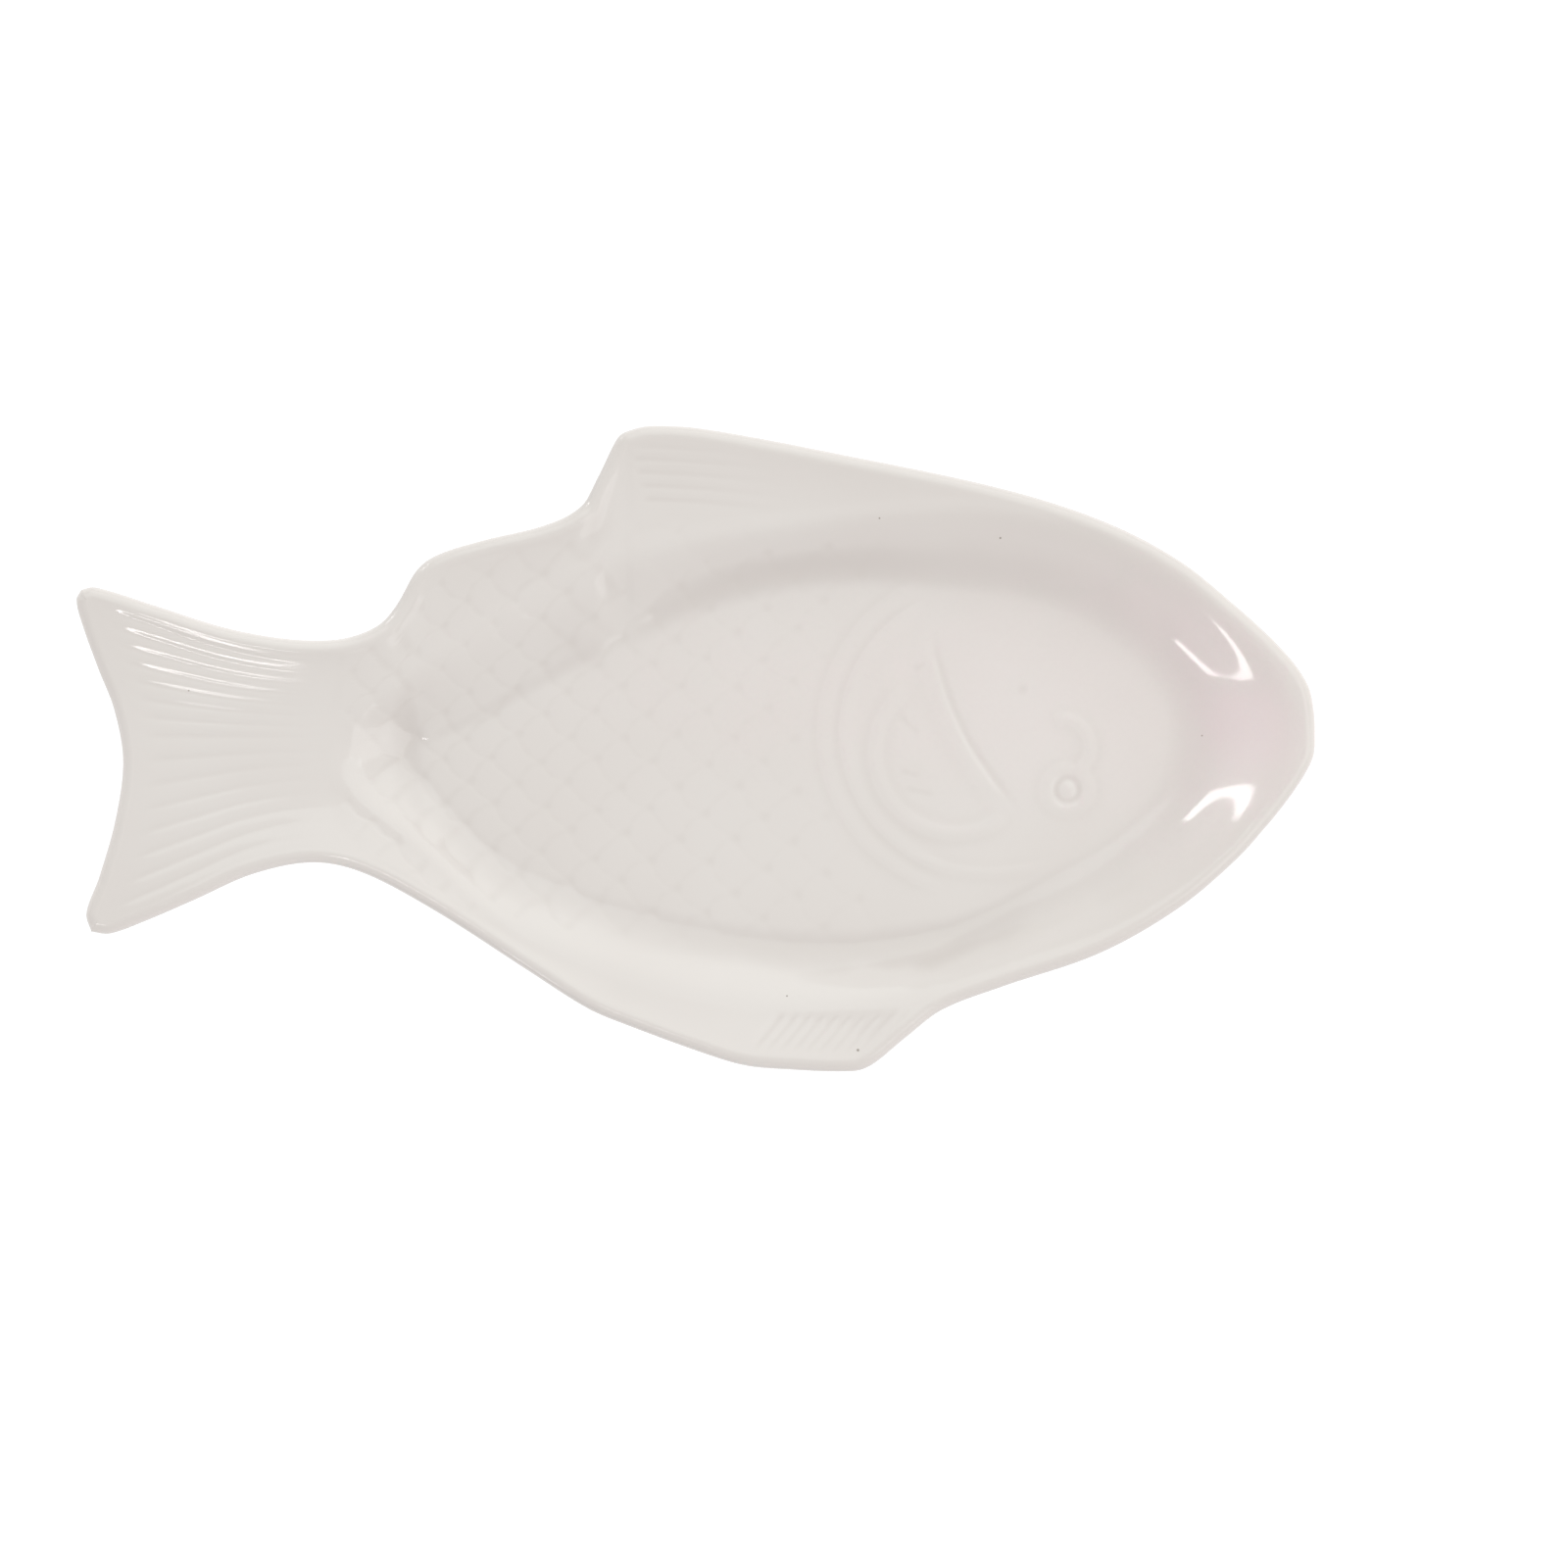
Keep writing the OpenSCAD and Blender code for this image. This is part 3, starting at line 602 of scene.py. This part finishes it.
def relief_height(x, y):
    """All the relief over the grid, which fades out before the lip."""
    column = np.arange(COLUMNS + 1)[:, None]
    s = np.clip(column / TAIL_COLUMNS, 0, 1)
    t = np.linspace(-1, 1, 2 * ROWS_HALF + 1)[None, :]
    relief = blurred(scale_relief(x, y), RELIEF_PASSES) + head_relief(x, y) + tail_relief(s, t)
    relief += dorsal_relief(x, y)
    relief -= FIN_DEPTH * fan_of_strokes(x, y, *LOWER_LINES, LOWER_GROOVES, LOWER_WIDTH)
    border = np.minimum(np.minimum(column, COLUMNS - column), (1 - np.abs(t)) * ROWS_HALF)
    return relief * ease(border / BORDER_ROWS)


def underside(x, y, deep, rim, rim_slopes):
    """One wall thickness square below the smooth surface, on every second grid line."""
    slope_x, slope_y = slopes(x, y, deep)
    at_rim = np.unravel_index(rim, x.shape)
    slope_x[at_rim], slope_y[at_rim] = rim_slopes.T
    slope_x, slope_y = blurred(slope_x, JOIN_PASSES), blurred(slope_y, JOIN_PASSES)
    steep = np.sqrt(1 + slope_x**2 + slope_y**2)
    return np.stack([
        x + WALL * slope_x / steep, y + WALL * slope_y / steep,
        np.maximum(deep - WALL / steep, FOOT_HEIGHT),
    ], -1)[::2, ::2]


def with_middles(face, after):
    """A face with the lip's points between its own, which the underside's coarser grid skips."""
    full = []
    for a, b in zip(face, face[1:] + face[:1]):
        full.append(a)
        for first, second in ((a, b), (b, a)):
            middle = after.get(first)
            if middle is not None and after.get(middle) == second:
                full.append(middle)
    return full


def build_body():
    """Points, in millimetres, and faces of the body, and masks for the painted shade in its hollows,
    at its creases and on its lip.
    """
    outline = closed_loop(*grid_edges())
    into = inward(outline)
    out = -into
    tilt = lip_tilt(outline, into)
    sine, cosine = np.sin(tilt)[:, None], np.cos(tilt)[:, None]
    ring = outline + into * (LIP_RADIUS * (1 + sine))
    plan = grid_plan(ring)
    x, y = plan[..., 0], plan[..., 1]
    raw = smooth_height(x, y)
    z = upper_height(x, y, raw)
    z_top = z + relief_height(x, y)
    index = np.arange(x.size).reshape(x.shape)
    points, faces = [np.stack([x, y, z_top], -1).reshape(-1, 3)], [grid_quads(index)]
    count = x.size

    # The lip, ring by ring from the grid's border to its lowest line
    edge = rim = grid_border(index[..., None])[:, 0]
    outward, upward = np.hstack([cosine * out, sine]), np.hstack([-sine * out, cosine])
    centre = np.column_stack([ring, z.reshape(-1)[rim]]) - LIP_RADIUS * upward
    # The lip's outer side that faces away from the key light gets painted shade
    shaded_side = ease(0.5 + SHADE_TURN * (out @ SHADED_SIDE))
    lip_shade = [np.zeros(count)]
    for angle, share in zip(np.radians(LIP_ANGLES), LIP_SHADE):
        lip_shade.append(share * shaded_side)
        points.append(centre + LIP_RADIUS * (math.cos(angle) * outward + math.sin(angle) * upward))
        here = count + np.arange(len(outline))
        faces.append(np.stack([edge, here, np.roll(here, -1), np.roll(edge, -1)], 1))
        edge = here
        count += len(outline)

    # The underside, which hangs on the lip's lowest line
    low = underside(x, y, blurred(raw, UNDERSIDE_PASSES), rim, out * np.tan(tilt)[:, None])
    inner = low[1:-1, 1:-1]
    under_count = inner.shape[0] * inner.shape[1]
    points.append(inner.reshape(-1, 3))
    under = np.full(low.shape[:2], -1)
    under[1:-1, 1:-1] = count + np.arange(under_count).reshape(inner.shape[:2])
    belly, nose, back, tail = (side[::2] for side in opened_loop(edge))
    under[:, 0], under[:, -1], under[0], under[-1] = belly, back, tail, nose
    after = dict(zip(edge.tolist(), np.roll(edge, -1).tolist()))
    polygons = [face for block in faces for face in block.tolist()]
    polygons += [with_middles(face, after) for face in grid_quads(under)[:, ::-1].tolist()]

    below = np.zeros(count - x.size + under_count)
    # Masks for painted shade: how deep a hollow or crease lies, and how dark each lip ring is
    # painted
    layers = {
        "hollow": np.concatenate([(blurred(z_top, HOLLOW_PASSES) - z_top).reshape(-1), below]),
        "creased": np.concatenate([(blurred(z, CREASE_PASSES) - z).reshape(-1), below]),
        "lip_shade": np.concatenate([*lip_shade, np.zeros(under_count)]),
    }
    return np.clip(np.concatenate(points), CAD_LOW, CAD_HIGH), polygons, layers


def grid_quads(index):
    """The quads between the neighbours of a grid of point numbers."""
    return np.stack(
        [index[:-1, :-1], index[1:, :-1], index[1:, 1:], index[:-1, 1:]], -1
    ).reshape(-1, 4)


def build_foot():
    """The foot ring: a round-edged section swept along the floor's outline, drawn in from it."""
    share = np.linspace(FLOOR_HALF[0][0], FLOOR_HALF[-1][0], FOOT_SAMPLES)
    square = curve(squares(FLOOR_HALF), share)
    share, half = share[square > 0], np.sqrt(square[square > 0]) * WIDTH
    x, middle = (share - 0.5) * LENGTH, curve(FLOOR_MIDDLE, share) * WIDTH
    sides = []
    for side in (-1, 1):
        y = middle + side * half
        sides.append(y - side * (FOOT_INSET + FOOT_WIDTH / 2) * np.sqrt(1 + np.gradient(y, x) ** 2))
    open_x = np.flatnonzero(sides[1] > sides[0])
    lower = np.stack([x[open_x], sides[0][open_x]], 1)
    upper = np.stack([x[open_x], sides[1][open_x]], 1)[::-1]
    path = even_ring(np.concatenate([lower, upper]), FOOT_POINTS)
    path = even_ring(softened(path, FOOT_PASSES), FOOT_POINTS)
    into = inward(path)
    half = FOOT_WIDTH / 2
    profile = np.array(FOOT_PROFILE)
    aside = np.concatenate([profile[:, 0], -profile[-2:0:-1, 0]]) * half
    height = np.concatenate([profile[:, 1], profile[-2:0:-1, 1]]) * FOOT_HEIGHT
    spots = path[:, None] + into[:, None] * aside[None, :, None]
    heights = np.broadcast_to(height[None, :, None], spots.shape[:2] + (1,))
    points = np.concatenate([spots, heights], -1)
    index = np.arange(points.shape[0] * points.shape[1]).reshape(points.shape[:2])
    index = np.concatenate([index, index[:1]])
    index = np.concatenate([index, index[:, :1]], 1)
    return points.reshape(-1, 3), grid_quads(index).tolist()


def even_ring(points, count):
    """The ring's points again at even distances."""
    ring = np.concatenate([points, points[:1]])
    reach = np.concatenate([[0], np.cumsum(np.hypot(*np.diff(ring, axis=0).T))])
    at = np.linspace(0, reach[-1], count, endpoint=False)
    return np.stack([np.interp(at, reach, ring[:, 0]), np.interp(at, reach, ring[:, 1])], 1)


def add_piece(name, points, faces, material, layers):
    """A smooth-shaded piece that rides on the only body and takes the glaze's slot."""
    mesh = bpy.data.meshes.new(name)
    mesh.from_pydata((points * MM).tolist(), [], faces)
    mesh.shade_smooth()
    for layer_name, values in layers.items():
        layer = mesh.attributes.new(layer_name, "FLOAT", "POINT")
        layer.data.foreach_set("value", values.astype(np.float32))
    mesh.materials.append(material)
    piece = bpy.data.objects.new(name, mesh)
    bpy.context.scene.collection.objects.link(piece)
    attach(piece, "root")
    return piece


# Material

# The glaze's colour and the one that it has in the lighter clouds, then painted shade: darker
# in a hollow, at the foot of the wall, over the lip's outermost line and on the high flange
GLAZE = (0.738, 0.683, 0.650, 1)
GLAZE_THIN = (0.754, 0.704, 0.672, 1)
GLAZE_HOLLOW_SHADE = (0.685, 0.629, 0.596, 1)
GLAZE_CREASE_SHADE = (0.634, 0.578, 0.555, 1)
GLAZE_EDGE_SHADE = (0.64, 0.60, 0.575, 1)
GLAZE_HIGH_SHADE = (0.716, 0.661, 0.628, 1)
# Over which heights the flange's painted shade comes in
HIGH_FROM, HIGH_TO = 13.5, 18.5
# From how deep to how deep a hollow or crease, in millimetres, the painted shade comes in
HOLLOW_SHADE_DEPTHS = (0.0, 0.10)
CREASE_SHADE_DEPTHS = (0.12, 0.95)
# A cloudy noise shifts the tint towards GLAZE_THIN and the gloss towards the worn one, each over a
# range of the noise
CLOUD_SCALE, CLOUD_DETAIL = 22.0, 3.0
CLOUD_TINT = (0.3, 0.7)
CLOUD_GLOSS = (0.35, 0.75)
GLOSS, GLOSS_WORN = 0.07, 0.11
GLAZE_IOR = 1.5
# A fine ripple of the glaze, and its height in millimetres
RIPPLE_SCALE, RIPPLE_DETAIL = 130.0, 2.0
RIPPLE_HEIGHT = 0.02
# Bare clay on the foot's face
BISCUIT = (0.62, 0.555, 0.47, 1)
BISCUIT_FROM, BISCUIT_TO = 0.16, 0.05
BISCUIT_ROUGHNESS = 0.75
# Pinholes and iron specks of the glaze: the pixel of each one and its radius. Each is darkest
# within its radius over SPECK_FADE, and none shows where the surface faces down.
SPECK = (0.30, 0.25, 0.21, 1)
SPECKS = (
    ((1020, 547), 0.30), ((875, 1073), 0.42), ((195, 704), 0.26), ((897, 527), 0.26),
    ((803, 1018), 0.26), ((1227, 750), 0.24),
)
SPECK_FADE = 3
SPECK_FACING = (0.0, 0.1)


def plug(tree, socket, value):
    """Feeds a socket with another node's output or with a constant."""
    if isinstance(value, bpy.types.NodeSocket):
        tree.links.new(value, socket)
    else:
        socket.default_value = value


def node(tree, kind, **inputs):
    """A new node, with its inputs fed by name."""
    made = tree.nodes.new(kind)
    for key, value in inputs.items():
        plug(tree, made.inputs[key.replace("_", " ")], value)
    return made


def mixed(tree, factor, first, second):
    """Two colours, mixed."""
    made = tree.nodes.new("ShaderNodeMix")
    made.data_type = "RGBA"
    for key, value in (("Factor", factor), ("A", first), ("B", second)):
        plug(tree, made.inputs[key], value)
    return made.outputs["Result"]


def ranged(tree, value, low, high, start=0.0, stop=1.0):
    """A value brought from one range to another, and kept within it."""
    bounds = {"From_Min": low, "From_Max": high, "To_Min": start, "To_Max": stop}
    return node(tree, "ShaderNodeMapRange", Value=value, **bounds).outputs["Result"]


def math_node(tree, kind, operation, first, second):
    """A new math node over two inputs."""
    made = tree.nodes.new(kind)
    made.operation = operation
    plug(tree, made.inputs[0], first)
    plug(tree, made.inputs[1], second)
    return made


def noise(tree, spot, scale, detail):
    return node(tree, "ShaderNodeTexNoise", Vector=spot, Scale=scale, Detail=detail).outputs["Fac"]


def layer_value(tree, name):
    """A value that the mesh carries at its points."""
    made = tree.nodes.new("ShaderNodeAttribute")
    made.attribute_name = name
    return made.outputs["Fac"]


def speck_mask(tree, spot):
    """1 in the middle of a speck and 0 off the specks and on the underside."""
    flat = math_node(tree, "ShaderNodeVectorMath", "MULTIPLY", spot, (1, 1, 0)).outputs["Vector"]
    mask = 0.0
    for pixel, radius in SPECKS:
        middle = (*(place(*pixel) * MM), 0)
        near = math_node(tree, "ShaderNodeVectorMath", "DISTANCE", flat, middle).outputs["Value"]
        speck = ranged(tree, near, radius * MM, radius * MM / SPECK_FADE)
        mask = math_node(tree, "ShaderNodeMath", "MAXIMUM", speck, mask).outputs["Value"]
    normal = tree.nodes.new("ShaderNodeNewGeometry").outputs["Normal"]
    facing = node(tree, "ShaderNodeSeparateXYZ", Vector=normal).outputs["Z"]
    return ranged(tree, facing, *SPECK_FACING, 0.0, mask)


def glazed_ceramic():
    """White glaze with a cloudy tint and painted shade in hollows, at creases, on the lip and on the
    high flange, over a bare clay foot.
    """
    material = bpy.data.materials.new("glazed_ceramic")
    material.use_nodes = True
    tree = material.node_tree
    shader = tree.nodes["Principled BSDF"]
    spot = tree.nodes.new("ShaderNodeTexCoord").outputs["Object"]
    height = node(tree, "ShaderNodeSeparateXYZ", Vector=spot).outputs["Z"]
    cloud = noise(tree, spot, CLOUD_SCALE, CLOUD_DETAIL)
    # Painted shade on the high flange and tail
    high = ranged(tree, height, HIGH_FROM * MM, HIGH_TO * MM)
    bare = ranged(tree, height, BISCUIT_FROM * MM, BISCUIT_TO * MM)
    # Painted shade at the crease of the wall's foot and in hollows
    creased = ranged(tree, layer_value(tree, "creased"), *CREASE_SHADE_DEPTHS)
    hollow = ranged(tree, layer_value(tree, "hollow"), *HOLLOW_SHADE_DEPTHS)
    tint = mixed(tree, ranged(tree, cloud, *CLOUD_TINT), GLAZE, GLAZE_THIN)
    tint = mixed(tree, high, tint, GLAZE_HIGH_SHADE)
    tint = mixed(tree, creased, tint, GLAZE_CREASE_SHADE)
    tint = mixed(tree, hollow, tint, GLAZE_HOLLOW_SHADE)
    # Painted shade over the lip's side that faces away from the key light
    tint = mixed(tree, layer_value(tree, "lip_shade"), tint, GLAZE_EDGE_SHADE)
    tint = mixed(tree, speck_mask(tree, spot), tint, SPECK)
    plug(tree, shader.inputs["Base Color"], mixed(tree, bare, tint, BISCUIT))
    gloss = ranged(tree, cloud, *CLOUD_GLOSS, GLOSS, GLOSS_WORN)
    plug(tree, shader.inputs["Roughness"], ranged(tree, bare, 0, 1, gloss, BISCUIT_ROUGHNESS))
    ripple = noise(tree, spot, RIPPLE_SCALE, RIPPLE_DETAIL)
    bump = node(tree, "ShaderNodeBump", Height=ripple, Distance=RIPPLE_HEIGHT * MM, Strength=1.0)
    plug(tree, shader.inputs["Normal"], bump.outputs["Normal"])
    shader.inputs["IOR"].default_value = GLAZE_IOR
    return material


body_material = glazed_ceramic()
body_points, body_faces, body_layers = build_body()
body = add_piece("platter_body", body_points, body_faces, body_material, body_layers)
add_piece("platter_foot", *build_foot(), body_material, {})
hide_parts("platter")

# Stage

# A pale floor that glows a little, just under the foot. Lengths from here on are in metres.
STAGE_SIZE = 6
STAGE_DROP = 0.0002
STAGE_LOOK = {
    "Base Color": (0.3, 0.3, 0.3, 1), "Roughness": 0.7,
    "Emission Color": (1, 1, 1, 1), "Emission Strength": 0.82,
}
bpy.ops.mesh.primitive_plane_add(size=STAGE_SIZE, location=(0, 0, -STAGE_DROP))
floor = bpy.context.object
floor.name = "floor"
floor_material = bpy.data.materials.new("floor_white")
floor_material.use_nodes = True
for socket, value in STAGE_LOOK.items():
    floor_material.node_tree.nodes["Principled BSDF"].inputs[socket].default_value = value
floor.data.materials.append(floor_material)

# Camera

# Straight above the middle of the photograph's frame, which fills its view at a share of the rim
# height
CAMERA_LENS = 135
CAMERA_REACH = 20
CAMERA_PLANE = 0.8
scene = bpy.context.scene
camera_data = bpy.data.cameras.new("camera")
camera_data.lens = CAMERA_LENS
camera_data.clip_end = CAMERA_REACH
camera = bpy.data.objects.new("camera", camera_data)
scene.collection.objects.link(camera)
aim = place(PHOTO_SIZE / 2, PHOTO_SIZE / 2)
span = PHOTO_SIZE * (PIXEL_X + PIXEL_Y) / 2 * MM
distance = span * camera_data.lens / camera_data.sensor_width
camera.location = (aim[0] * MM, aim[1] * MM, distance + CAMERA_PLANE * RIM_HEIGHT * MM)
scene.camera = camera

# Light

# A dome that is brighter near the horizon, a large soft key from the dorsal side, a near fill, a
# rosy bounce at the nose, and small lamps that show only as highlights. A direction is an azimuth
# and an elevation in degrees.
DOME = 0.785
DOME_HORIZON = (1.3, 1.3, 1.3, 1)
DOME_ZENITH = (0.8, 0.8, 0.8, 1)
HORIZON_UP_TO, ZENITH_FROM = 0.15, 0.75
KEY_DIRECTION = (74, 48)
KEY_DISTANCE = 2.2
KEY_SIZE = 2.64
KEY_RADIANCE = 0.91
KEY_COLOR = (0.90, 1.0, 0.98)
FILL_DIRECTION = (-20, 50)
FILL_DISTANCE = 0.75
FILL_SIZE = 0.5
FILL_RADIANCE = 1.1
FILL_COLOR = (1.0, 1.0, 1.0)
BOUNCE_PIXEL = (1275, 720)
BOUNCE_DIRECTION = (178, 9)
BOUNCE_DISTANCE = 0.45
BOUNCE_SIZE = (0.02, 0.015)
BOUNCE_RADIANCE = 400.0
BOUNCE_COLOR = (1.0, 0.38, 0.76)
HIGHLIGHT_DISTANCE = 1.1
HIGHLIGHT_COLOR = (1.0, 0.97, 0.98)
WIDE, BOUNCE_BEAM, NARROW = math.radians(179), math.radians(10.5), math.radians(16)
# Each one's name, the pixel it lights, its direction from there, its width and height, its radiance
# and its beam
HIGHLIGHTS = (
    ("glint_upper", (1228, 680), (-139.5, 18), (0.25, 0.09), 9.0, WIDE),
    ("glint_lower", (1250, 812), (142, 16), (0.21, 0.13), 9.0, WIDE),
    ("glint_tail", (215, 662), (-108, 70), (0.12, 0.08), 15.0, NARROW),
)


def direction(azimuth, elevation):
    """The unit vector at an azimuth and an elevation in degrees."""
    a, e = math.radians(azimuth), math.radians(elevation)
    return Vector((math.cos(a) * math.cos(e), math.sin(a) * math.cos(e), math.sin(e)))


world = bpy.data.worlds.new("studio")
scene.world = world
world.use_nodes = True
dome = world.node_tree
toward = dome.nodes.new("ShaderNodeTexCoord").outputs["Generated"]
height = node(dome, "ShaderNodeSeparateXYZ", Vector=toward).outputs["Z"]
climb = ranged(dome, height, HORIZON_UP_TO, ZENITH_FROM)
shade = mixed(dome, climb, DOME_HORIZON, DOME_ZENITH)
plug(dome, dome.nodes["Background"].inputs["Color"], shade)
dome.nodes["Background"].inputs["Strength"].default_value = DOME


def area_light(name, location, target, size, radiance, color, beam):
    """A lamp that looks at a place; its radiance there is the same whatever its size and beam."""
    gathered = math.tan(beam / 2) / (math.tan(beam / 2) - beam / 2)
    data = bpy.data.lights.new(name, "AREA")
    data.shape = "RECTANGLE"
    data.size, data.size_y = size
    data.spread = beam
    data.energy = radiance * math.pi * size[0] * size[1] / gathered
    data.color = color
    lamp = bpy.data.objects.new(name, data)
    lamp.location = location
    lamp.rotation_mode = "QUATERNION"
    lamp.rotation_quaternion = (location - target).to_track_quat("Z", "Y")
    scene.collection.objects.link(lamp)
    return lamp


def above_plan(pixel):
    """The place under a pixel, at half the rim height."""
    return Vector((*place(*pixel), RIM_HEIGHT / 2)) * MM


key_place = direction(*KEY_DIRECTION) * KEY_DISTANCE
area_light("key", key_place, Vector(), (KEY_SIZE, KEY_SIZE), KEY_RADIANCE, KEY_COLOR, WIDE)
fill_place = direction(*FILL_DIRECTION) * FILL_DISTANCE
area_light("fill", fill_place, Vector(), (FILL_SIZE, FILL_SIZE), FILL_RADIANCE, FILL_COLOR, WIDE)
bounce_spot = above_plan(BOUNCE_PIXEL)
bounce_place = bounce_spot + direction(*BOUNCE_DIRECTION) * BOUNCE_DISTANCE
bounce = area_light(
    "bounce", bounce_place, bounce_spot, BOUNCE_SIZE, BOUNCE_RADIANCE, BOUNCE_COLOR, BOUNCE_BEAM
)
bounce.visible_glossy = False
for name, pixel, angles, size, radiance, beam in HIGHLIGHTS:
    spot = above_plan(pixel)
    away = direction(*angles) * HIGHLIGHT_DISTANCE
    lamp = area_light(name, spot + away, spot, size, radiance, HIGHLIGHT_COLOR, beam)
    lamp.visible_diffuse = False

scene.view_settings.view_transform = "Standard"
